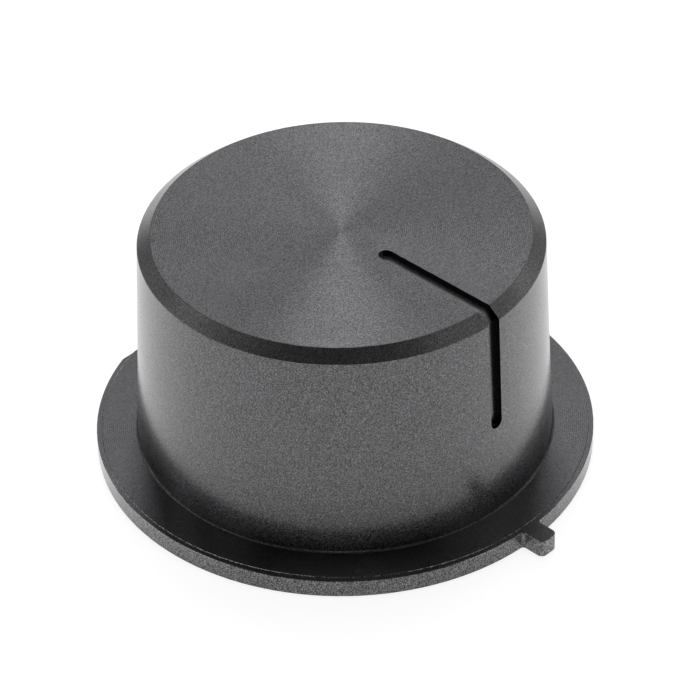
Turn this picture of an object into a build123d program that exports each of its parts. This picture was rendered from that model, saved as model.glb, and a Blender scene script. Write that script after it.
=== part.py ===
from build123d import *
import os
from math import cos, radians, sin, tan

# Timer knob: a tapered drum on a thin flange, turned and milled from one piece of aluminium,
# with an indicator groove, a pointer tab in line with it, a flat on the flange opposite the tab
# and a grub screw for the spindle.
# Lengths in millimetres, angles in degrees. The origin is the middle of the spindle bore's mouth,
# in the plane of the base. +Z points up the spindle, and -Y points along the groove and the tab.

# Flange
flange_diameter = 50.0
flange_thickness = 1.98
ledge_width = 0.5
ledge_drop = 0.07
ledge_edge_radius = 0.06
rim_edge_break = 0.04
flat_depth = 1.55

# Drum
knob_height = 25.2
drum_foot_diameter = 41.8
drum_draft = 2.8
drum_foot_fillet = 0.2
top_chamfer = 1.23
top_edge_radius = 0.12

# Indicator groove, milled along the top, the chamfer and the side
groove_width = 1.5
groove_depth = 0.6
groove_start_radius = 5.95
groove_end_height = 12.5

# Pointer tab
tab_width = 2.2
tab_reach = 2.45
tab_corner_radius = 0.6
tab_root_radius = 0.35

# Hollow underside and spindle bore
drum_wall = 3.9
drum_roof = 4.75
boss_diameter = 15.0
spindle_diameter = 6.0
spindle_clearance = 0.05
bore_depth = 16.0

# Grub screw and its holes, on the side away from the groove
screw_diameter = 3.9
screw_length = 4.0
screw_height = 9.0
screw_clearance = 0.1
screw_tip_setback = 0.1
screw_tip_chamfer = 0.6
screw_head_chamfer = 0.25
socket_across_flats = 2.0
socket_depth = 2.0
access_hole_diameter = 4.5

# Radii and heights that follow from the sizes above
flange_radius = flange_diameter / 2
raised_radius = flange_radius - ledge_width
drum_foot_radius = drum_foot_diameter / 2
chamfer_foot_height = knob_height - top_chamfer
hollow_radius = drum_foot_radius - drum_wall
hollow_depth = knob_height - drum_roof
boss_radius = boss_diameter / 2
bore_radius = (spindle_diameter + spindle_clearance) / 2
screw_hole_radius = (screw_diameter + screw_clearance) / 2


def drum_radius_at(height):
    """Radius of the drum's tapered side at a height above the base."""
    return drum_foot_radius - tan(radians(drum_draft)) * (height - flange_thickness)


chamfer_foot_radius = drum_radius_at(chamfer_foot_height)
top_radius = chamfer_foot_radius - top_chamfer
side_normal = (0, -cos(radians(drum_draft)), sin(radians(drum_draft)))


with BuildPart() as knob_body:
    # Flange plate with the tab, up to the ledge round its rim
    with BuildSketch() as flange_outline:
        Circle(flange_radius)
        with Locations((0, -flange_radius)):
            Rectangle(tab_width, 2 * tab_reach)
        fillet(flange_outline.vertices().group_by(Axis.Y)[1], radius=tab_root_radius)
        fillet(flange_outline.vertices().group_by(Axis.Y)[0], radius=tab_corner_radius)
    extrude(amount=flange_thickness - ledge_drop)
    chamfer(knob_body.faces().filter_by(Axis.Z).edges(), length=rim_edge_break)

    # Turned form: raised flange face with its rounded edge, tapered drum and chamfered top
    with BuildSketch(Plane.XZ) as turned_profile:
        ledge_edge = (raised_radius, flange_thickness)
        drum_foot = (drum_foot_radius, flange_thickness)
        chamfer_foot = (chamfer_foot_radius, chamfer_foot_height)
        top_edge = (top_radius, knob_height)
        with BuildLine():
            Polyline(
                (0, 0),
                (raised_radius, 0),
                ledge_edge,
                drum_foot,
                chamfer_foot,
                top_edge,
                (0, knob_height),
                close=True,
            )
        make_face()
        fillet(turned_profile.vertices().sort_by_distance(ledge_edge)[0], radius=ledge_edge_radius)
        fillet(turned_profile.vertices().sort_by_distance(drum_foot)[0], radius=drum_foot_fillet)
        fillet(turned_profile.vertices().sort_by_distance(chamfer_foot)[0], radius=top_edge_radius)
        fillet(turned_profile.vertices().sort_by_distance(top_edge)[0], radius=top_edge_radius)
    revolve(axis=Axis.Z)

    # Flat milled off the flange's edge opposite the tab
    with BuildSketch():
        with Locations((0, flange_radius - flat_depth)):
            Rectangle(flange_diameter, flange_radius, align=(Align.CENTER, Align.MIN))
    extrude(amount=flange_thickness, mode=Mode.SUBTRACT)

    # Hollow underside round the boss
    with BuildSketch() as hollow_ring:
        Circle(hollow_radius)
        Circle(boss_radius, mode=Mode.SUBTRACT)
    extrude(amount=hollow_depth, mode=Mode.SUBTRACT)

    # Spindle bore, drilled up from the base
    with Locations(-Plane.XY):
        Hole(radius=bore_radius, depth=bore_depth)

    # Tapped hole from the boss's side into the bore, and the hole through the drum to reach its screw
    with Locations(Plane((0, boss_radius, screw_height), z_dir=(0, 1, 0))):
        Hole(radius=screw_hole_radius, depth=boss_radius)
    with Locations(Plane((0, drum_foot_radius, screw_height), z_dir=(0, 1, 0))):
        Hole(radius=access_hole_diameter / 2, depth=drum_foot_radius - (hollow_radius + boss_radius) / 2)

    # Indicator groove, with the cutter's round ends
    with BuildLine(Plane.YZ) as groove_path:
        Polyline(
            (-groove_start_radius, knob_height),
            (-top_radius, knob_height),
            (-chamfer_foot_radius, chamfer_foot_height),
            (-drum_radius_at(groove_end_height), groove_end_height),
        )
    groove_start = groove_path.line @ 0
    groove_end = groove_path.line @ 1
    with BuildSketch(Plane(groove_start, x_dir=(1, 0, 0), z_dir=groove_path.line % 0)):
        Rectangle(groove_width, 2 * groove_depth)
    sweep(path=groove_path.line, transition=Transition.RIGHT, mode=Mode.SUBTRACT)
    with Locations(Plane(groove_start), Plane(groove_end, z_dir=side_normal)):
        Cylinder(radius=groove_width / 2, height=2 * groove_depth, mode=Mode.SUBTRACT)

with BuildPart() as grub_screw:
    screw_tip = Plane((0, bore_radius + screw_tip_setback, screw_height), z_dir=(0, 1, 0))
    with BuildSketch(screw_tip):
        Circle(screw_diameter / 2)
    extrude(amount=screw_length)
    chamfer(grub_screw.edges().sort_by(Axis.Y)[0], length=screw_tip_chamfer)
    chamfer(grub_screw.edges().sort_by(Axis.Y)[-1], length=screw_head_chamfer)
    with BuildSketch(screw_tip.offset(screw_length)):
        RegularPolygon(radius=socket_across_flats / 2, side_count=6, major_radius=False)
    extrude(amount=-socket_depth, mode=Mode.SUBTRACT)

knob_body.part.label = "knob_body"
grub_screw.part.label = "grub_screw"

os.makedirs("parts", exist_ok=True)
export_step(knob_body.part, "parts/knob_body.step")
export_step(grub_screw.part, "parts/grub_screw.step")
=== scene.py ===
"""Timer knob of black anodised aluminium, with its threaded grub screw and a studio stage."""

import math

import bmesh
import bpy
from mathutils import Matrix, Vector


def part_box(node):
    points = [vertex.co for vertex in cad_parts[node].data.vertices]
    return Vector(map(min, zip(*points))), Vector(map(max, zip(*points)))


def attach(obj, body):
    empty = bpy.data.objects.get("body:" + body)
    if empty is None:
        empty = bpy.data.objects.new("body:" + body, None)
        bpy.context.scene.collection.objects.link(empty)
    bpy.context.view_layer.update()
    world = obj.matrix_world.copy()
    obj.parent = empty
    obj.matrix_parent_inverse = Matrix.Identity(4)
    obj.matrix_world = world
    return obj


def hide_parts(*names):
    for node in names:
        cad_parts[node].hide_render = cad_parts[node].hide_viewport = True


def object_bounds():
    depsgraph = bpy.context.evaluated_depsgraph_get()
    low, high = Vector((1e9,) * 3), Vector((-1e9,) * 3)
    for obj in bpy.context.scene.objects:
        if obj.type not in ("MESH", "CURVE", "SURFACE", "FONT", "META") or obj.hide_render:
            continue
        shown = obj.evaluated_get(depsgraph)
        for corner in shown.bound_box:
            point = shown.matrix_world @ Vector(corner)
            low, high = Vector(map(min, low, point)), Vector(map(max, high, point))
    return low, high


bl_info = {
    "name": "Timer knob",
    "version": (1, 0, 0),
    "blender": (4, 5, 0),
    "location": "3D View > Sidebar > Timer knob",
    "description": "Finishes a turned timer knob, threads its grub screw and sets a pale studio stage",
    "category": "Object",
}

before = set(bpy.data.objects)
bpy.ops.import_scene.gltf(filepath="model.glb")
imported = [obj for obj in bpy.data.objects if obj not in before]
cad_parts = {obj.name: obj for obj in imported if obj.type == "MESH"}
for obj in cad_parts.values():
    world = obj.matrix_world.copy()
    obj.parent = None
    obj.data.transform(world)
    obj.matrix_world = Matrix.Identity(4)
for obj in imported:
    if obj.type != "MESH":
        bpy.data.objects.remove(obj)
CAD_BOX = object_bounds()
KNOB_TOP = CAD_BOX[1].z
SCREW_LOW, SCREW_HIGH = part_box("grub_screw")
SCREW_MIDDLE = (SCREW_LOW + SCREW_HIGH) / 2

# The body's own form, in metres
FLANGE_TOP = 0.00198
DRUM_FOOT_RADIUS = 0.0209
DRUM_FOOT_FILLET = 0.0002
DRUM_SLOPE = math.tan(math.radians(2.8))
CHAMFER_HEIGHT = 0.00123
TOP_RADIUS = 0.018595
GROOVE_HALF_WIDTH = 0.00075
HOLLOW_RADIUS = 0.017
HOLLOW_ROOF = 0.02045
BOSS_RADIUS = 0.0075
BORE_RADIUS = 0.003025
TAPPED_RADIUS = 0.002
KEY_HOLE_RADIUS = 0.00225

# How far from that form a face may lie and still belong to it, and the width of a seam between faces
SLACK = 0.0001
SEAM = 0.00001

# The upward part of a normal, from which a face counts as flat, as lying or as sloping
FLAT, LYING, SLOPING = 0.999, 0.85, 0.2

# Two faces that meet at a larger angle than this have a sharp edge
SHARP_ANGLE = math.radians(28)


def drum_radius(height):
    """Radius of the body's tapered side at a height."""
    return DRUM_FOOT_RADIUS - DRUM_SLOPE * (height - FLANGE_TOP)


# Sizes and finishes


class KnobFinish(bpy.types.PropertyGroup):
    """Finishes of the knob's body."""

    blasted_colour: bpy.props.FloatVectorProperty(
        name="Blasted colour", description="Colour of the bead-blasted metal under its anodised film",
        default=(0.0643, 0.064, 0.0685), size=3, min=0.0, max=1.0, subtype="COLOR")
    turned_colour: bpy.props.FloatVectorProperty(
        name="Turned colour", description="Colour of the turned top and flange",
        default=(0.1203, 0.12, 0.1258), size=3, min=0.0, max=1.0, subtype="COLOR")
    # Painted shade: the groove's walls get a near-black colour that stands in for the shade inside the
    # narrow groove
    painted_groove_shade_colour: bpy.props.FloatVectorProperty(
        name="Cut colour", description="Colour of the groove's walls, where the dye lies deepest",
        default=(0.012, 0.012, 0.0122), size=3, min=0.0, max=1.0, subtype="COLOR")
    blasted_roughness: bpy.props.FloatProperty(
        name="Blasted roughness", description="Roughness of the bead-blasted metal",
        default=0.45, min=0.0, max=1.0, subtype="FACTOR")
    # Painted light: the rim's colour is set lighter than the side's blasted colour, to hold its tone
    # against the painted shade on the floor that it mirrors
    rim_painted_light_colour: bpy.props.FloatVectorProperty(
        name="Rim colour", description="Colour of the black film on the flange's rim",
        default=(0.15, 0.149, 0.155), size=3, min=0.0, max=1.0, subtype="COLOR")
    rim_roughness: bpy.props.FloatProperty(
        name="Rim roughness", description="Roughness of the metal on the flange's rim",
        default=0.28, min=0.0, max=1.0, subtype="FACTOR")
    film_roughness: bpy.props.FloatProperty(
        name="Film roughness", description="Roughness of the anodised film on the drum's side",
        default=0.21, min=0.0, max=1.0, subtype="FACTOR")
    edge_colour: bpy.props.FloatVectorProperty(
        name="Edge colour", description="Colour of the drum's foot and of the chamfer under the shoulder",
        default=(0.083, 0.083, 0.0845), size=3, min=0.0, max=1.0, subtype="COLOR")
    edge_grain_shade: bpy.props.FloatProperty(
        name="Edge shade", description="How far the dimples lighten and darken the edges",
        default=0.6, min=0.0, max=2.0, subtype="FACTOR")
    edge_film: bpy.props.FloatProperty(
        name="Edge film", description="How much anodised film the edges have",
        default=0.3, min=0.0, max=1.0, subtype="FACTOR")
    edge_film_roughness: bpy.props.FloatProperty(
        name="Edge film roughness", description="Roughness of the anodised film on the edges",
        default=0.4, min=0.0, max=1.0, subtype="FACTOR")
    rim_film_roughness: bpy.props.FloatProperty(
        name="Rim film roughness", description="Roughness of the anodised film on the flange's rim",
        default=0.12, min=0.0, max=1.0, subtype="FACTOR")
    blast_grain_size: bpy.props.FloatProperty(
        name="Blast grain", description="Size of one dimple that the beads leave",
        default=0.000125, min=0.00005, max=0.002, precision=5, unit="LENGTH")
    blast_grain_depth: bpy.props.FloatProperty(
        name="Blast depth", description="Depth of the dimples",
        default=0.000005, min=0.0, max=0.0002, precision=6, unit="LENGTH")
    blast_grain_shade: bpy.props.FloatProperty(
        name="Blast shade", description="How far the dimples lighten and darken the blasted colour",
        default=1.15, min=0.0, max=2.0, subtype="FACTOR")
    turned_grain_size: bpy.props.FloatProperty(
        name="Turned grain", description="Size of one dimple on the turned faces",
        default=0.000145, min=0.00005, max=0.002, precision=5, unit="LENGTH")
    turned_grain_depth: bpy.props.FloatProperty(
        name="Turned grain depth", description="Depth of the dimples on the turned faces",
        default=0.000008, min=0.0, max=0.0002, precision=6, unit="LENGTH")
    turned_grain_shade: bpy.props.FloatProperty(
        name="Turned grain shade", description="How far the dimples lighten and darken the turned colour",
        default=0.41, min=0.0, max=1.0, subtype="FACTOR")
    flange_grain_shade: bpy.props.FloatProperty(
        name="Flange grain shade", description="How far the dimples lighten and darken the flange's face",
        default=0.22, min=0.0, max=1.0, subtype="FACTOR")
    turned_shade: bpy.props.FloatProperty(
        name="Turned shade", description="How far the turning marks lighten and darken the turned colour",
        default=0.16, min=0.0, max=1.0, subtype="FACTOR")
    milled_roughness: bpy.props.FloatProperty(
        name="Milled roughness", description="Roughness of the groove's floor down the drum's side",
        default=0.19, min=0.0, max=1.0, subtype="FACTOR")
    milled_top_roughness: bpy.props.FloatProperty(
        name="Milled top roughness", description="Roughness of the groove's floor along the top",
        default=0.29, min=0.0, max=1.0, subtype="FACTOR")
    # Painted light: the groove's floor is painted lighter along the top
    groove_top_painted_light: bpy.props.FloatProperty(
        name="Milled top shade", description="How much lighter the groove's floor is along the top",
        default=1.3, min=0.0, max=2.0)
    turned_roughness: bpy.props.FloatProperty(
        name="Turned roughness", description="Roughness of the turned top",
        default=0.40, min=0.0, max=1.0, subtype="FACTOR")
    flange_roughness: bpy.props.FloatProperty(
        name="Flange roughness", description="Roughness of the turned face of the flange",
        default=0.27, min=0.0, max=1.0, subtype="FACTOR")
    turned_anisotropy: bpy.props.FloatProperty(
        name="Turned sheen",
        description="How strongly the turning marks stretch reflections along the radius",
        default=0.9, min=0.0, max=1.0, subtype="FACTOR")
    turned_pitch: bpy.props.FloatProperty(
        name="Turning pitch", description="Distance between two turning marks",
        default=0.0002, min=0.00002, max=0.002, precision=5, unit="LENGTH")
    turned_depth: bpy.props.FloatProperty(
        name="Turning depth", description="Depth of the turning marks",
        default=0.0000012, min=0.0, max=0.0002, precision=7, unit="LENGTH")


class ShoulderSizes(bpy.types.PropertyGroup):
    """Sizes and finish of the shoulder, which fills out the drum's upper side and chamfer."""

    foot_radius: bpy.props.FloatProperty(
        name="Foot radius", description="Radius of the shoulder where the chamfer meets the side",
        default=0.0199, min=0.015, max=0.025, precision=5, unit="LENGTH")
    foot_height: bpy.props.FloatProperty(
        name="Foot height", description="Height at which the chamfer meets the side",
        default=0.02417, min=0.02, max=0.025, precision=5, unit="LENGTH")
    edge_radius: bpy.props.FloatProperty(
        name="Edge radius", description="Rounding of the chamfer's two edges",
        default=0.00012, min=0.00002, max=0.0005, precision=5, unit="LENGTH")
    seat_height: bpy.props.FloatProperty(
        name="Seat height", description="Height at which the shoulder runs out into the drum's side",
        default=0.012, min=0.003, max=0.02, precision=5, unit="LENGTH")
    chamfer_colour: bpy.props.FloatVectorProperty(
        name="Chamfer colour", description="Colour of the chamfer's metal under its film",
        default=(0.106, 0.106, 0.106), size=3, min=0.0, max=1.0, subtype="COLOR")
    chamfer_roughness: bpy.props.FloatProperty(
        name="Chamfer roughness", description="Roughness of the chamfer", default=0.34, min=0.05, max=1.0)
    chamfer_film: bpy.props.FloatProperty(
        name="Chamfer film", description="How much anodised film the chamfer has",
        default=0.75, min=0.0, max=1.0)
    chamfer_film_roughness: bpy.props.FloatProperty(
        name="Chamfer film roughness", description="Roughness of the anodised film on the chamfer",
        default=0.34, min=0.02, max=1.0)


class ScrewFinish(bpy.types.PropertyGroup):
    """Sizes and finish of the grub screw."""

    thread_pitch: bpy.props.FloatProperty(
        name="Thread pitch", description="Distance between two turns of the thread",
        default=0.0007, min=0.0003, max=0.002, precision=5, unit="LENGTH")
    thread_depth: bpy.props.FloatProperty(
        name="Thread depth", description="Depth of the thread",
        default=0.00038, min=0.0, max=0.001, precision=5, unit="LENGTH")
    tip_chamfer: bpy.props.FloatProperty(
        name="Tip chamfer", description="Chamfer at the screw's tip",
        default=0.0006, min=0.0, max=0.001, precision=5, unit="LENGTH")
    head_chamfer: bpy.props.FloatProperty(
        name="Head chamfer", description="Chamfer at the screw's socket end",
        default=0.00025, min=0.0, max=0.001, precision=5, unit="LENGTH")
    socket_flats: bpy.props.FloatProperty(
        name="Socket across flats", description="Width of the hexagon socket",
        default=0.002, min=0.0008, max=0.003, precision=5, unit="LENGTH")
    socket_depth: bpy.props.FloatProperty(
        name="Socket depth", description="Depth of the hexagon socket",
        default=0.002, min=0.0005, max=0.003, precision=5, unit="LENGTH")
    steel_colour: bpy.props.FloatVectorProperty(
        name="Steel colour", description="Colour of the black oxide on the steel",
        default=(0.09, 0.09, 0.095), size=3, min=0.0, max=1.0, subtype="COLOR")


class StageSettings(bpy.types.PropertyGroup):
    """Camera, floor and light."""

    azimuth: bpy.props.FloatProperty(
        name="Azimuth", description="Angle of the camera round the knob from the pointer tab",
        default=math.radians(-45.7), subtype="ANGLE")
    elevation: bpy.props.FloatProperty(
        name="Elevation", description="Angle of the camera above the floor",
        default=math.radians(37.7835), subtype="ANGLE")
    roll: bpy.props.FloatProperty(
        name="Roll", description="Turn of the camera about its own line of sight",
        default=math.radians(1.0586), subtype="ANGLE")
    distance: bpy.props.FloatProperty(
        name="Distance", description="Distance of the camera from the point that it looks at",
        default=0.375, min=0.05, unit="LENGTH")
    lens: bpy.props.FloatProperty(
        name="Lens", description="Focal length in millimetres",
        default=190.758, min=10.0)
    aim: bpy.props.FloatVectorProperty(
        name="Aim",
        description="How far the picture's middle is to the right of and above the middle of the base",
        default=(0.000477, 0.008296), size=2, precision=6, unit="LENGTH")
    floor_size: bpy.props.FloatProperty(
        name="Floor size", description="Width of the pale floor",
        default=8.0, min=0.5, unit="LENGTH")
    floor_white: bpy.props.FloatProperty(
        name="Floor white", description="How much of the floor's white is the same in light and shade",
        default=0.85, min=0.0, max=1.0, subtype="FACTOR")
    # Painted shadow: the shade below is a ring painted into the floor's white where the metal mirrors it,
    # not cast by the lamps
    shade_level: bpy.props.FloatProperty(
        name="Shade level",
        description="How bright the floor in the knob's shade is where the metal mirrors it",
        default=0.5, min=0.0, max=1.0, subtype="FACTOR")
    shade_azimuth: bpy.props.FloatProperty(
        name="Shade azimuth", description="Angle of the shade round the knob from the pointer tab",
        default=math.radians(-38), subtype="ANGLE")
    shade_shift: bpy.props.FloatProperty(
        name="Shade shift", description="How far the middle of the shade is from the knob's axis",
        default=0.006, min=0.0, max=0.05, precision=4, unit="LENGTH")
    shade_radius: bpy.props.FloatProperty(
        name="Shade radius", description="Radius of the full shade",
        default=0.019, min=0.0, max=0.1, precision=4, unit="LENGTH")
    shade_fade: bpy.props.FloatProperty(
        name="Shade fade", description="Width over which the shade fades out",
        default=0.0115, min=0.001, max=0.1, precision=4, unit="LENGTH")
    lamp_distance: bpy.props.FloatProperty(
        name="Lamp distance", description="Distance of the soft boxes from the knob",
        default=1.5, min=0.3, unit="LENGTH")
    room_level: bpy.props.FloatProperty(
        name="Room", description="Level of the light that comes from all round",
        default=0.05, min=0.0, max=1.0, subtype="FACTOR")


# Node boards


class Board:
    """A node tree that is built from left to right."""

    def __init__(self, owner):
        owner.use_nodes = True
        self.tree = owner.node_tree
        self.tree.nodes.clear()

    def add(self, kind, settings=None, **values):
        """A new node. Settings are its own options; values go to its sockets, as a number or as a link."""
        node = self.tree.nodes.new(kind)
        for name, value in (settings or {}).items():
            setattr(node, name, value)
        for name, value in values.items():
            self.put(node.inputs[name.replace("_", " ")], value)
        return node

    def put(self, socket, value):
        """Links an output to a socket, or sets the socket to a plain value."""
        if isinstance(value, bpy.types.NodeSocket):
            self.tree.links.new(value, socket)
        else:
            socket.default_value = value

    def math(self, operation, *values):
        """The result of one step of arithmetic."""
        node = self.add("ShaderNodeMath", {"operation": operation})
        for socket, value in zip(node.inputs, values):
            self.put(socket, value)
        return node.outputs[0]

    def vector(self, operation, *values):
        """The result of one step of arithmetic with vectors."""
        node = self.add("ShaderNodeVectorMath", {"operation": operation})
        for socket, value in zip(node.inputs, values):
            self.put(socket, value)
        return node.outputs["Value"] if operation == "LENGTH" else node.outputs[0]

    def ramp(self, factor, low, high, to_low, to_high):
        """A smooth change from one level to another while the factor goes from low to high."""
        node = self.add("ShaderNodeMapRange", {"interpolation_type": "SMOOTHSTEP"})
        for socket, value in zip(node.inputs, (factor, low, high, to_low, to_high)):
            self.put(socket, value)
        return node.outputs[0]


# Finishes

FILM_INDEX = 1.65
INSIDE_FILM, INSIDE_FILM_ROUGHNESS = 0.6, 0.3

# Dimples: how much larger the coarse ones are, the fine ones' share, and the shade's spread and lower end
COARSE_SIZE, FINE_SHARE = 2.7, 0.85
GRAIN_GAIN, DARKEST_GRAIN = 5.0, 0.1

# Clouds in which the roughness strays up and down
CLOUD_SIZE = 0.004
BLASTED_STRAY, TURNED_STRAY = 0.03, 0.02

# Turning marks: the turns after which they change, and how far they shift
UNEVEN_TURNS, UNEVEN_SHIFT = 5, 0.3

# Marks of the boring bar, of the milling cutter and of the tap
BORING_PITCH, BORING_DEPTH = 0.0003, 0.000006
MILLING_SIZE, MILLING_DEPTH, MILLING_STRETCH = 0.00016, 0.000003, (0.3, 1.0, 1.0)
TAP_DEPTH = 0.9

# Heights between which the groove's floor turns from the side's finish to the top's
GROOVE_BEND = (KNOB_TOP - 0.002, KNOB_TOP - 0.001)

# Black oxide: its grain, its blotches and the grain's depth
OXIDE_GRAIN, OXIDE_BLOTCH, OXIDE_DEPTH = 0.00012, 0.0011, 0.000004


def new_material(name):
    """A new material and its empty board."""
    material = bpy.data.materials.new(name)
    return material, Board(material)


def own_coordinates(board):
    """Coordinates on the piece, in metres in the row frame."""
    return board.add("ShaderNodeTexCoord").outputs["Object"]


def noise(board, place, size, detail=2.0):
    """Noise from 0 to 1 whose spots are of the size."""
    node = board.add("ShaderNodeTexNoise", Vector=place, Scale=1.0 / size, Detail=detail, Roughness=0.5)
    return node.outputs["Fac"]


def metal(board, colour, roughness, normal, film=0.0, film_roughness=0.2, anisotropy=0.0, tangent=None):
    """Metal with a shaded colour and bumps, under a clear anodised film if it has one."""
    shader = board.add("ShaderNodeBsdfPrincipled", Base_Color=colour, Metallic=1.0, Roughness=roughness,
                       Normal=normal)
    shader.inputs["Anisotropic"].default_value = anisotropy
    if tangent is not None:
        board.put(shader.inputs["Tangent"], tangent)
    if film:
        shader.inputs["Coat Weight"].default_value = film
        shader.inputs["Coat Roughness"].default_value = film_roughness
        shader.inputs["Coat IOR"].default_value = FILM_INDEX
        board.put(shader.inputs["Coat Normal"], normal)
    out = board.add("ShaderNodeOutputMaterial")
    board.put(out.inputs["Surface"], shader.outputs["BSDF"])


def shaded(board, colour, shade):
    """The colour lightened and darkened by a shade that is 1 in the middle."""
    return board.vector("SCALE", tuple(colour), (0, 0, 0), (0, 0, 0), shade)


def blast_grain(board, place, size, contrast):
    """(height, shade) of the dimples that bead-blasting leaves: fine ones, with coarser ones among them."""
    fine = noise(board, place, size, 0.0)
    coarse = noise(board, place, size * COARSE_SIZE, 0.0)
    height = board.math("ADD", board.math("MULTIPLY", fine, FINE_SHARE),
                        board.math("MULTIPLY", coarse, 1.0 - FINE_SHARE))
    gain = GRAIN_GAIN * contrast
    shade = board.math("MULTIPLY_ADD", height, gain, 1.0 - gain / 2)
    return height, board.math("MAXIMUM", shade, DARKEST_GRAIN)


def cloudy(board, place, level, stray):
    """A level that strays up and down in soft clouds."""
    return board.ramp(noise(board, place, CLOUD_SIZE), 0.2, 0.8, level - stray, level + stray)


def bump(board, height, depth, normal=None):
    """The normal of a surface with a height on it, over another normal if there is one."""
    node = board.add("ShaderNodeBump", Strength=1.0, Distance=depth, Height=height)
    if normal is not None:
        board.put(node.inputs["Normal"], normal)
    return node.outputs["Normal"]


def radius_of(board, place):
    """The way out from the knob's axis, and how far it is."""
    flat = board.vector("MULTIPLY", place, (1, 1, 0))
    return flat, board.vector("LENGTH", flat)


def turning_marks(board, place, pitch):
    """The way out from the axis, and the wave and the height of the fine turns that a facing cut leaves."""
    flat, radius = radius_of(board, place)
    uneven = board.add("ShaderNodeTexNoise", {"noise_dimensions": "1D"}, W=radius,
                       Scale=1.0 / (pitch * UNEVEN_TURNS), Detail=2.0).outputs["Fac"]
    shift = board.math("MULTIPLY", uneven, UNEVEN_SHIFT)
    turns = board.math("ADD", board.math("DIVIDE", radius, pitch), shift)
    wave = board.math("SINE", board.math("MULTIPLY", turns, 2 * math.pi))
    return flat, wave, board.math("ADD", board.math("MULTIPLY", wave, 0.5), uneven)


def blasted_metal(name, finish, colour, grain_shade, base_roughness, film, film_roughness):
    """Bead-blasted metal under its film."""
    material, board = new_material(name)
    place = own_coordinates(board)
    height, shade = blast_grain(board, place, finish.blast_grain_size, grain_shade)
    roughness = cloudy(board, place, base_roughness, BLASTED_STRAY)
    normal = bump(board, height, finish.blast_grain_depth)
    metal(board, shaded(board, colour, shade), roughness, normal, film, film_roughness)
    return material


def turned_metal(name, finish, base_roughness, grain_shade):
    """Metal faced on a lathe, whose fine turns draw the light out along the radius."""
    material, board = new_material(name)
    place = own_coordinates(board)
    height, shade = blast_grain(board, place, finish.turned_grain_size, grain_shade)
    flat, wave, marks = turning_marks(board, place, finish.turned_pitch)
    shade = board.math("MULTIPLY", shade, board.math("MULTIPLY_ADD", wave, finish.turned_shade, 1.0))
    normal = bump(board, marks, finish.turned_depth, bump(board, height, finish.turned_grain_depth))
    along_radius = board.vector("NORMALIZE", flat)
    roughness = cloudy(board, place, base_roughness, TURNED_STRAY)
    metal(board, shaded(board, finish.turned_colour, shade), roughness, normal,
          anisotropy=finish.turned_anisotropy, tangent=along_radius)
    return material


def bored_metal(name, finish):
    """The inside, with the rings that a boring bar leaves."""
    material, board = new_material(name)
    place = own_coordinates(board)
    height, shade = blast_grain(board, place, finish.blast_grain_size, finish.turned_grain_shade)
    height_up = board.add("ShaderNodeSeparateXYZ", Vector=place).outputs["Z"]
    radius = radius_of(board, place)[1]
    along = board.math("ADD", radius, height_up)
    rings = board.math("SINE", board.math("MULTIPLY", along, 2 * math.pi / BORING_PITCH))
    normal = bump(board, rings, BORING_DEPTH, bump(board, height, finish.blast_grain_depth))
    metal(board, shaded(board, finish.blasted_colour, shade), finish.blasted_roughness, normal,
          INSIDE_FILM, INSIDE_FILM_ROUGHNESS)
    return material


def milled_metal(name, finish, colour, side_roughness, top_roughness, top_painted_light):
    """Bare milled metal of the groove, with one roughness down the side and one along the top; along the
    top its colour is also painted lighter, which is painted light.
    """
    material, board = new_material(name)
    place = own_coordinates(board)
    height_up = board.add("ShaderNodeSeparateXYZ", Vector=place).outputs["Z"]
    roughness = board.ramp(height_up, *GROOVE_BEND, side_roughness, top_roughness)
    # Painted light: the groove's floor is painted lighter along the top
    lighter = board.ramp(height_up, *GROOVE_BEND, 1.0, top_painted_light)
    height, shade = blast_grain(board, place, finish.blast_grain_size, finish.turned_grain_shade)
    cuts = noise(board, board.vector("MULTIPLY", place, MILLING_STRETCH), MILLING_SIZE, 1.0)
    normal = bump(board, cuts, MILLING_DEPTH, bump(board, height, finish.blast_grain_depth))
    metal(board, shaded(board, colour, board.math("MULTIPLY", shade, lighter)), roughness, normal)
    return material


def tapped_metal(name, finish, pitch):
    """The tapped hole, whose thread is a bump that winds round the screw's axis."""
    material, board = new_material(name)
    place = own_coordinates(board)
    moved = board.vector("SUBTRACT", place, (SCREW_MIDDLE.x, 0.0, SCREW_MIDDLE.z))
    parts = board.add("ShaderNodeSeparateXYZ", Vector=moved).outputs
    turn = board.math("DIVIDE", board.math("ARCTAN2", parts["Z"], parts["X"]), 2 * math.pi)
    wave = board.math("PINGPONG", board.math("ADD", board.math("DIVIDE", parts["Y"], pitch), turn), 0.5)
    height, shade = blast_grain(board, place, finish.blast_grain_size, finish.turned_grain_shade)
    normal = bump(board, wave, pitch * TAP_DEPTH, bump(board, height, finish.blast_grain_depth))
    metal(board, shaded(board, finish.blasted_colour, shade), finish.blasted_roughness, normal,
          INSIDE_FILM, INSIDE_FILM_ROUGHNESS)
    return material


def black_steel(name, screw):
    """Steel with a blotchy black oxide."""
    material, board = new_material(name)
    place = own_coordinates(board)
    grain = noise(board, place, OXIDE_GRAIN)
    blotch = noise(board, place, OXIDE_BLOTCH)
    shade = board.ramp(board.math("ADD", grain, blotch), 0.7, 1.3, 0.75, 1.3)
    roughness = board.ramp(blotch, 0.25, 0.75, 0.3, 0.45)
    metal(board, shaded(board, screw.steel_colour, shade), roughness, bump(board, grain, OXIDE_DEPTH))
    return material


# Meshes


def smooth_faces(mesh):
    """Turns all faces outward and shades them smooth, with sharp edges where they meet at an angle."""
    bmesh.ops.recalc_face_normals(mesh, faces=mesh.faces)
    for face in mesh.faces:
        face.smooth = True
    for edge in mesh.edges:
        edge.smooth = edge.calc_face_angle(0.0) < SHARP_ANGLE


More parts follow.
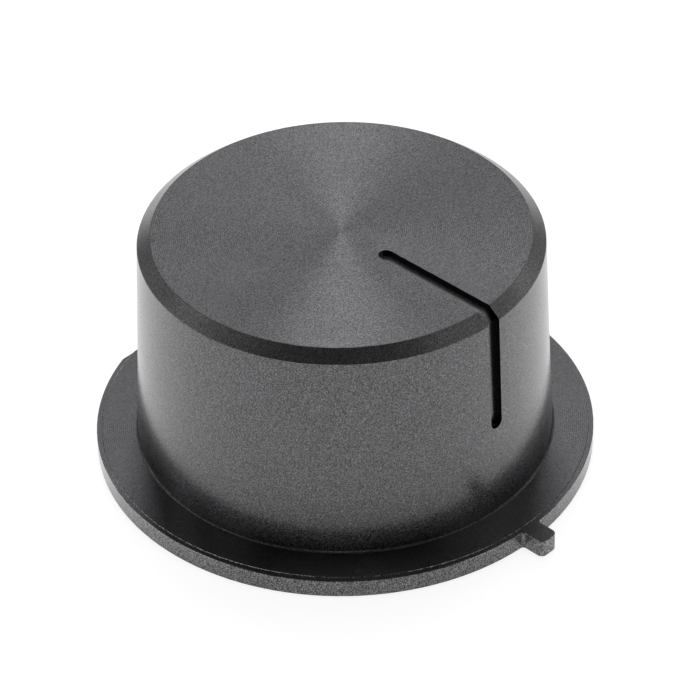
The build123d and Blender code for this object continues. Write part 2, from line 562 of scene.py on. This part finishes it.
def new_piece(context, name, mesh, materials):
    """An object in the scene, made from a finished mesh."""
    data = bpy.data.meshes.new(name)
    mesh.to_mesh(data)
    mesh.free()
    for material in materials:
        data.materials.append(material)
    piece = bpy.data.objects.new(name, data)
    context.scene.collection.objects.link(piece)
    return piece


# Knob body


TOP, SIDE, EDGE, RIM, FLANGE, GROOVE_FLOOR, GROOVE_WALL, INSIDE, TAPPED = range(9)


def near_screw(place, radius):
    """Whether a place lies within a radius of the screw's axis, on the screw's side of the knob."""
    return (place.y > 0 and abs(place.x - SCREW_MIDDLE.x) < radius + SLACK
            and abs(place.z - SCREW_MIDDLE.z) < radius + SLACK)


def zone_of(place, normal):
    """Which finish a face of the knob's body has, from where it lies on the turned form."""
    radius, below_top = math.hypot(place.x, place.y), KNOB_TOP - place.z
    if near_screw(place, TAPPED_RADIUS) and BORE_RADIUS + SEAM < radius < BOSS_RADIUS - SEAM:
        return TAPPED
    depth = min(drum_radius(place.z), TOP_RADIUS + below_top) - radius
    in_hollow = place.z < HOLLOW_ROOF + SLACK and radius < HOLLOW_RADIUS + SLACK
    in_key_hole = near_screw(place, KEY_HOLE_RADIUS) and depth > 2 * SLACK
    if in_hollow or in_key_hole or normal.z < -LYING:
        return INSIDE
    if place.y < 0 and abs(place.x) < GROOVE_HALF_WIDTH + SEAM and depth > SLACK and below_top > SLACK:
        return GROOVE_WALL if abs(normal.x) > 0.3 or normal.y * normal.z > 0.05 else GROOVE_FLOOR
    if below_top < SLACK and normal.z > LYING:
        return TOP
    above_flange = place.z - FLANGE_TOP
    at_foot = (SEAM < above_flange < DRUM_FOOT_FILLET + SLACK
               and radius < DRUM_FOOT_RADIUS + DRUM_FOOT_FILLET + SLACK)
    if (at_foot or below_top < CHAMFER_HEIGHT + SEAM) and normal.z > SLOPING:
        return EDGE
    if above_flange < SLACK and normal.z > FLAT:
        return FLANGE
    return RIM if above_flange < SEAM else SIDE


class KNOB_OT_finish_body(bpy.types.Operator):
    """Give the knob's body its turned, blasted, milled and bored finishes"""

    bl_idname = "knob.finish_body"
    bl_label = "Finish the body"

    def execute(self, context):
        finish, screw = context.scene.knob_finish, context.scene.knob_screw
        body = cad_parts["knob_body"]
        materials = (
            turned_metal("turned_top", finish, finish.turned_roughness, finish.turned_grain_shade),
            blasted_metal("blasted_side", finish, finish.blasted_colour, finish.blast_grain_shade,
                          finish.blasted_roughness, 1.0, finish.film_roughness),
            blasted_metal("blasted_edges", finish, finish.edge_colour, finish.edge_grain_shade,
                          finish.blasted_roughness, finish.edge_film, finish.edge_film_roughness),
            # Painted light: the rim takes its lighter painted colour
            blasted_metal("blasted_rim", finish, finish.rim_painted_light_colour, finish.blast_grain_shade,
                          finish.rim_roughness, 1.0, finish.rim_film_roughness),
            turned_metal("turned_flange", finish, finish.flange_roughness, finish.flange_grain_shade),
            milled_metal("milled_groove", finish, finish.turned_colour,
                         finish.milled_roughness, finish.milled_top_roughness, finish.groove_top_painted_light),
            # Painted shade: the groove's walls take the near-black painted shade colour
            milled_metal("milled_groove_wall", finish, finish.painted_groove_shade_colour,
                         finish.blasted_roughness, finish.blasted_roughness, 1.0),
            bored_metal("bored_inside", finish),
            tapped_metal("tapped_hole", finish, screw.thread_pitch),
        )
        body.data.materials.clear()
        for material in materials:
            body.data.materials.append(material)
        for face in body.data.polygons:
            face.material_index = zone_of(face.center, face.normal)
        return {"FINISHED"}


# Shoulder

SHOULDER_SPOKES = 240

# How far along the straight run the point beside a rounding lies, in lengths of the rounding
HOLD = 1.6

# How far in and up from its seat, its foot and its top edge the shoulder's back lies inside the body
BURIED = ((-0.0005, 0.0005), (-0.0008, -0.0002), (-0.000145, -0.0003))

# How far its ends lie behind the groove's walls
WALL_SEAM = 0.000002


def step_from(start, end, distance):
    """The point at a distance from the start on the way to the end, in a profile."""
    length = math.dist(start, end)
    return tuple(a + (b - a) * distance / length for a, b in zip(start, end))


def rounded_corner(before, corner, after, radius, steps=6):
    """Points that round a corner of a profile, with one point more on each straight run beside it."""
    toward, away = (math.atan2(b[1] - a[1], b[0] - a[0]) for a, b in ((before, corner), (corner, after)))
    cut = radius * abs(math.tan((away - toward) / 2))
    first, last = step_from(corner, before, cut), step_from(corner, after, cut)
    points = [step_from(corner, before, HOLD * cut)]
    for t in (step / steps for step in range(steps + 1)):
        shares = ((1 - t) ** 2, 2 * t * (1 - t), t * t)
        points.append(tuple(sum(share * p[axis] for share, p in zip(shares, (first, corner, last)))
                            for axis in range(2)))
    points.append(step_from(corner, after, HOLD * cut))
    return points


def shoulder_profile(sizes):
    """(radius, height) of the shoulder's section: its skin from the top down, then back inside the body."""
    top_edge, foot = (TOP_RADIUS, KNOB_TOP), (sizes.foot_radius, sizes.foot_height)
    seat = (drum_radius(sizes.seat_height) - SEAM, sizes.seat_height)
    skin = rounded_corner((0.0, KNOB_TOP), top_edge, foot, sizes.edge_radius)
    skin += rounded_corner(top_edge, foot, seat, sizes.edge_radius) + [seat]
    return skin + [(radius + inward, height + upward)
                   for (radius, height), (inward, upward) in zip((seat, foot, top_edge), BURIED)]


def ring_open_at_groove(profile, spokes):
    """A profile turned round the axis from one wall of the groove to the other, and its two end faces."""
    mesh = bmesh.new()
    rows = []
    for step in range(spokes + 1):
        row = []
        for radius, height in profile:
            gap = math.asin((GROOVE_HALF_WIDTH + WALL_SEAM) / radius)
            angle = gap + (2 * math.pi - 2 * gap) * step / spokes
            row.append(mesh.verts.new((radius * math.sin(angle), -radius * math.cos(angle), height)))
        rows.append(row)
    count = len(profile)
    for row, following in zip(rows, rows[1:]):
        for k in range(count):
            n = (k + 1) % count
            mesh.faces.new((row[k], row[n], following[n], following[k]))
    return mesh, [mesh.faces.new(rows[0]), mesh.faces.new(rows[-1][::-1])]


class KNOB_OT_make_shoulder(bpy.types.Operator):
    """Make the shoulder, which fills out the drum's upper side and chamfer, open at the groove"""

    bl_idname = "knob.make_shoulder"
    bl_label = "Make the shoulder"

    def execute(self, context):
        sizes, finish = context.scene.knob_shoulder, context.scene.knob_finish
        if sizes.foot_radius <= drum_radius(sizes.foot_height):
            raise RuntimeError("The shoulder's foot lies inside the drum's side")
        chamfer = blasted_metal("blasted_chamfer", finish, sizes.chamfer_colour, finish.edge_grain_shade,
                                sizes.chamfer_roughness, sizes.chamfer_film, sizes.chamfer_film_roughness)
        turned_top, blasted_side, groove_wall = (
            bpy.data.materials[name] for name in ("turned_top", "blasted_side", "milled_groove_wall"))
        materials = [turned_top, chamfer, blasted_side, groove_wall]

        mesh, ends = ring_open_at_groove(shoulder_profile(sizes), SHOULDER_SPOKES)
        smooth_faces(mesh)
        for face in mesh.faces:
            rise = face.normal.z
            material = turned_top if rise > LYING else chamfer if rise > SLOPING else blasted_side
            face.material_index = materials.index(material)
        for face in ends:
            face.material_index = materials.index(groove_wall)
        piece = new_piece(context, "shoulder", mesh, materials)
        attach(piece, "root")
        return {"FINISHED"}


# Grub screw

SCREW_SPOKES, SCREW_STEPS = 72, 80
TIP_SHARE = 0.3
SOCKET_EDGE = 0.00008
SOCKET_POINT = 0.0003

# The thread's flanks: how steep they are, and how far the crest is cut flat
FLANK, CREST = 2.3, 0.1


def hexagon_radius(angle, flats):
    """Distance from a hexagon's middle to its edge in one direction."""
    return flats / 2 / math.cos((angle + math.pi / 6) % (math.pi / 3) - math.pi / 6)


def thread_radius(angle, along, length, outer, screw):
    """Radius of the thread at an angle and a distance from the tip, with the chamfers at both ends."""
    turn = (along / screw.thread_pitch - angle / (2 * math.pi)) % 1.0
    slope = min(1.0, max(0.0, FLANK * abs(turn - 0.5) - CREST))
    chamfered = min(outer - screw.tip_chamfer + along, outer - screw.head_chamfer + (length - along))
    return min(outer - screw.thread_depth * slope, chamfered)


def screw_rings(screw, angles, length, outer):
    """(distance from the tip, radii) of each ring of points, from the tip into the socket."""
    rings = [(0.0, [TIP_SHARE * outer] * len(angles))]
    for step in range(SCREW_STEPS + 1):
        along = length * step / SCREW_STEPS
        rings.append((along, [thread_radius(a, along, length, outer, screw) for a in angles]))
    mouth = [hexagon_radius(a, screw.socket_flats) for a in angles]
    rings.append((length, [r + SOCKET_EDGE for r in mouth]))
    rings.append((length - SOCKET_EDGE, mouth))
    rings.append((length - screw.socket_depth, mouth))
    return rings


class KNOB_OT_make_grub_screw(bpy.types.Operator):
    """Make the threaded grub screw with its hexagon socket"""

    bl_idname = "knob.make_grub_screw"
    bl_label = "Make the grub screw"

    def execute(self, context):
        screw = context.scene.knob_screw
        length, outer = SCREW_HIGH.y - SCREW_LOW.y, (SCREW_HIGH.x - SCREW_LOW.x) / 2
        angles = [2 * math.pi * k / SCREW_SPOKES for k in range(SCREW_SPOKES)]
        following = [(k + 1) % SCREW_SPOKES for k in range(SCREW_SPOKES)]
        mesh = bmesh.new()

        def point(radius, angle, along):
            return mesh.verts.new((SCREW_MIDDLE.x + radius * math.cos(angle), SCREW_LOW.y + along,
                                   SCREW_MIDDLE.z + radius * math.sin(angle)))

        loops = [[point(r, a, along) for a, r in zip(angles, radii)]
                 for along, radii in screw_rings(screw, angles, length, outer)]
        for low, high in zip(loops, loops[1:]):
            for k, n in enumerate(following):
                mesh.faces.new((low[k], high[k], high[n], low[n]))
        drill_point = length - screw.socket_depth - SOCKET_POINT
        for loop, along, order in ((loops[0], 0.0, 1), (loops[-1], drill_point, -1)):
            centre = point(0.0, 0.0, along)
            for k, n in enumerate(following):
                mesh.faces.new((loop[k], loop[n], centre)[::order])
        smooth_faces(mesh)

        piece = new_piece(context, "threaded_grub_screw", mesh, [black_steel("black_oxide_steel", screw)])
        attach(piece, "root")
        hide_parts("grub_screw")
        return {"FINISHED"}


# Stage

# Soft boxes by their angle round the knob from the camera, their angle of height and their power in watts
SOFT_BOXES = (
    ("back_low", 180, 22, 2.70),
    ("back_middle", 180, 37, 0.62),
    ("back_high", 180, 67, 3.07),
    ("overhead", 180, 82, 2.06),
    ("back_right_low", 156, 22, 0.96),
    ("back_right", 156, 37, 0.59),
    ("back_right_high", 134, 55, 0.46),
    ("back_left_low", -160, 10, 2.0),
    ("back_left", -156, 37, 0.45),
    ("right_rear", 112, 22, 0.98),
    ("right", 90, 37, 0.41),
    ("right_front", 67, 37, 0.80),
    ("front_right", 64, 48, 0.3),
    ("left_rear", -112, 8, 1.29),
    ("left", -90, 22, 1.30),
    ("left_front", -67, 37, 0.97),
    ("front_low", -4, 8, 1.3),
    ("left_high", -104, 39, 0.52),
    ("left_back", -125, 20, 0.24),
    ("right_back", 130, 16, 0.26),
)

# Half of the angles that a soft box fills as seen from the knob, across and up
BOX_HALF_WIDTH, BOX_HALF_HEIGHT = math.radians(10), math.radians(7)

SENSOR_WIDTH = 36.0
CLIP_START, CLIP_END = 0.01, 100.0
FLOOR_DROP = 0.00002
FLOOR_GREY = 0.4


def white_floor(stage):
    """A white that shows in the picture and in reflections, with the knob's soft shadow on it.

    Where the metal mirrors the floor close to the knob, it shows a painted shadow: a ring in the floor's
    glow, not cast by the lamps.
    """
    material, board = new_material("white_floor")
    path = board.add("ShaderNodeLightPath")
    seen = board.math("MAXIMUM", path.outputs["Is Camera Ray"], path.outputs["Is Glossy Ray"])
    seen = board.math("MAXIMUM", seen, path.outputs["Is Transmission Ray"])
    # Painted shadow: a ring round a point beside the knob dims the glow that mirrored rays see
    shift, turn = stage.shade_shift, stage.shade_azimuth
    middle = (shift * math.sin(turn), -shift * math.cos(turn), 0)
    radius = radius_of(board, board.vector("SUBTRACT", own_coordinates(board), middle))[1]
    outer = stage.shade_radius + stage.shade_fade
    shade = board.ramp(radius, stage.shade_radius, outer, stage.shade_level, 1.0)
    shade = board.math("MAXIMUM", shade, path.outputs["Is Camera Ray"])
    strength = board.math("MULTIPLY", board.math("MULTIPLY", seen, stage.floor_white), shade)
    glow = board.add("ShaderNodeEmission", Color=(1, 1, 1, 1), Strength=strength)
    plain = board.add("ShaderNodeBsdfDiffuse", Color=(FLOOR_GREY, FLOOR_GREY, FLOOR_GREY, 1))
    both = board.add("ShaderNodeAddShader")
    board.put(both.inputs[0], glow.outputs[0])
    board.put(both.inputs[1], plain.outputs[0])
    out = board.add("ShaderNodeOutputMaterial")
    board.put(out.inputs["Surface"], both.outputs[0])
    return material


def camera_axes(stage):
    """Right, up and back of the camera in the row frame."""
    e, roll = stage.elevation, stage.roll
    right, up = Vector((1, 0, 0)), Vector((0, math.sin(e), math.cos(e)))
    back = Vector((0, -math.cos(e), math.sin(e)))
    turned_right = right * math.cos(roll) - up * math.sin(roll)
    turned_up = right * math.sin(roll) + up * math.cos(roll)
    spin = Matrix.Rotation(stage.azimuth, 3, "Z")
    return spin @ turned_right, spin @ turned_up, spin @ back


class KNOB_OT_set_stage(bpy.types.Operator):
    """Set the camera, the pale floor and the light"""

    bl_idname = "knob.set_stage"
    bl_label = "Set the stage"

    def execute(self, context):
        stage, scene = context.scene.knob_stage, context.scene
        scene.view_settings.view_transform = "Standard"

        right, up, back = camera_axes(stage)
        camera = bpy.data.objects.new("camera", bpy.data.cameras.new("camera"))
        scene.collection.objects.link(camera)
        camera.data.lens, camera.data.sensor_width = stage.lens, SENSOR_WIDTH
        camera.data.clip_start, camera.data.clip_end = CLIP_START, CLIP_END
        place = right * stage.aim[0] + up * stage.aim[1] + back * stage.distance
        camera.matrix_world = Matrix.Translation(place) @ Matrix((right, up, back)).transposed().to_4x4()
        scene.camera = camera

        mesh = bpy.data.meshes.new("floor")
        half = stage.floor_size / 2
        corners = ((-half, -half), (half, -half), (half, half), (-half, half))
        mesh.from_pydata([(x, y, -FLOOR_DROP) for x, y in corners], [], [(0, 1, 2, 3)])
        floor = bpy.data.objects.new("floor", mesh)
        scene.collection.objects.link(floor)
        mesh.materials.append(white_floor(stage))

        for name, round_angle, height_angle, watts in SOFT_BOXES:
            a, b = math.radians(round_angle) + stage.azimuth, math.radians(height_angle)
            way = Vector((math.sin(a) * math.cos(b), -math.cos(a) * math.cos(b), math.sin(b)))
            lamp = bpy.data.lights.new(name, "AREA")
            lamp.shape, lamp.energy = "RECTANGLE", watts
            lamp.size = 2 * stage.lamp_distance * math.tan(BOX_HALF_WIDTH)
            lamp.size_y = 2 * stage.lamp_distance * math.tan(BOX_HALF_HEIGHT)
            box = bpy.data.objects.new(name, lamp)
            scene.collection.objects.link(box)
            box.location = way * stage.lamp_distance + Vector((0, 0, KNOB_TOP / 2))
            box.rotation_euler = way.to_track_quat("Z", "Y").to_euler()

        world = bpy.data.worlds.new("studio")
        scene.world = world
        board = Board(world)
        path = board.add("ShaderNodeLightPath")
        seen = board.math("MAXIMUM", path.outputs["Is Camera Ray"], path.outputs["Is Transmission Ray"])
        level = board.ramp(seen, 0.0, 1.0, stage.room_level, 1.0)
        room = board.add("ShaderNodeBackground", Color=(1, 1, 1, 1), Strength=level)
        out = board.add("ShaderNodeOutputWorld")
        board.put(out.inputs["Surface"], room.outputs[0])
        return {"FINISHED"}


# Panel


class VIEW3D_PT_timer_knob(bpy.types.Panel):
    """The knob's sizes and finishes, and its four steps"""

    bl_label = "Timer knob"
    bl_idname = "VIEW3D_PT_timer_knob"
    bl_space_type = "VIEW_3D"
    bl_region_type = "UI"
    bl_category = "Timer knob"

    def draw(self, context):
        for group, step in (
            (context.scene.knob_finish, KNOB_OT_finish_body),
            (context.scene.knob_shoulder, KNOB_OT_make_shoulder),
            (context.scene.knob_screw, KNOB_OT_make_grub_screw),
            (context.scene.knob_stage, KNOB_OT_set_stage),
        ):
            box = self.layout.box()
            for name in group.__annotations__:
                box.prop(group, name)
            box.operator(step.bl_idname)


CLASSES = (
    KnobFinish, ShoulderSizes, ScrewFinish, StageSettings,
    KNOB_OT_finish_body, KNOB_OT_make_shoulder, KNOB_OT_make_grub_screw, KNOB_OT_set_stage,
    VIEW3D_PT_timer_knob,
)


def register():
    for item in CLASSES:
        bpy.utils.register_class(item)
    bpy.types.Scene.knob_finish = bpy.props.PointerProperty(type=KnobFinish)
    bpy.types.Scene.knob_shoulder = bpy.props.PointerProperty(type=ShoulderSizes)
    bpy.types.Scene.knob_screw = bpy.props.PointerProperty(type=ScrewFinish)
    bpy.types.Scene.knob_stage = bpy.props.PointerProperty(type=StageSettings)


def unregister():
    del bpy.types.Scene.knob_finish
    del bpy.types.Scene.knob_shoulder
    del bpy.types.Scene.knob_screw
    del bpy.types.Scene.knob_stage
    for item in reversed(CLASSES):
        bpy.utils.unregister_class(item)


def main():
    register()
    bpy.ops.knob.finish_body()
    bpy.ops.knob.make_shoulder()
    bpy.ops.knob.make_grub_screw()
    bpy.ops.knob.set_stage()


if __name__ == "__main__":
    main()
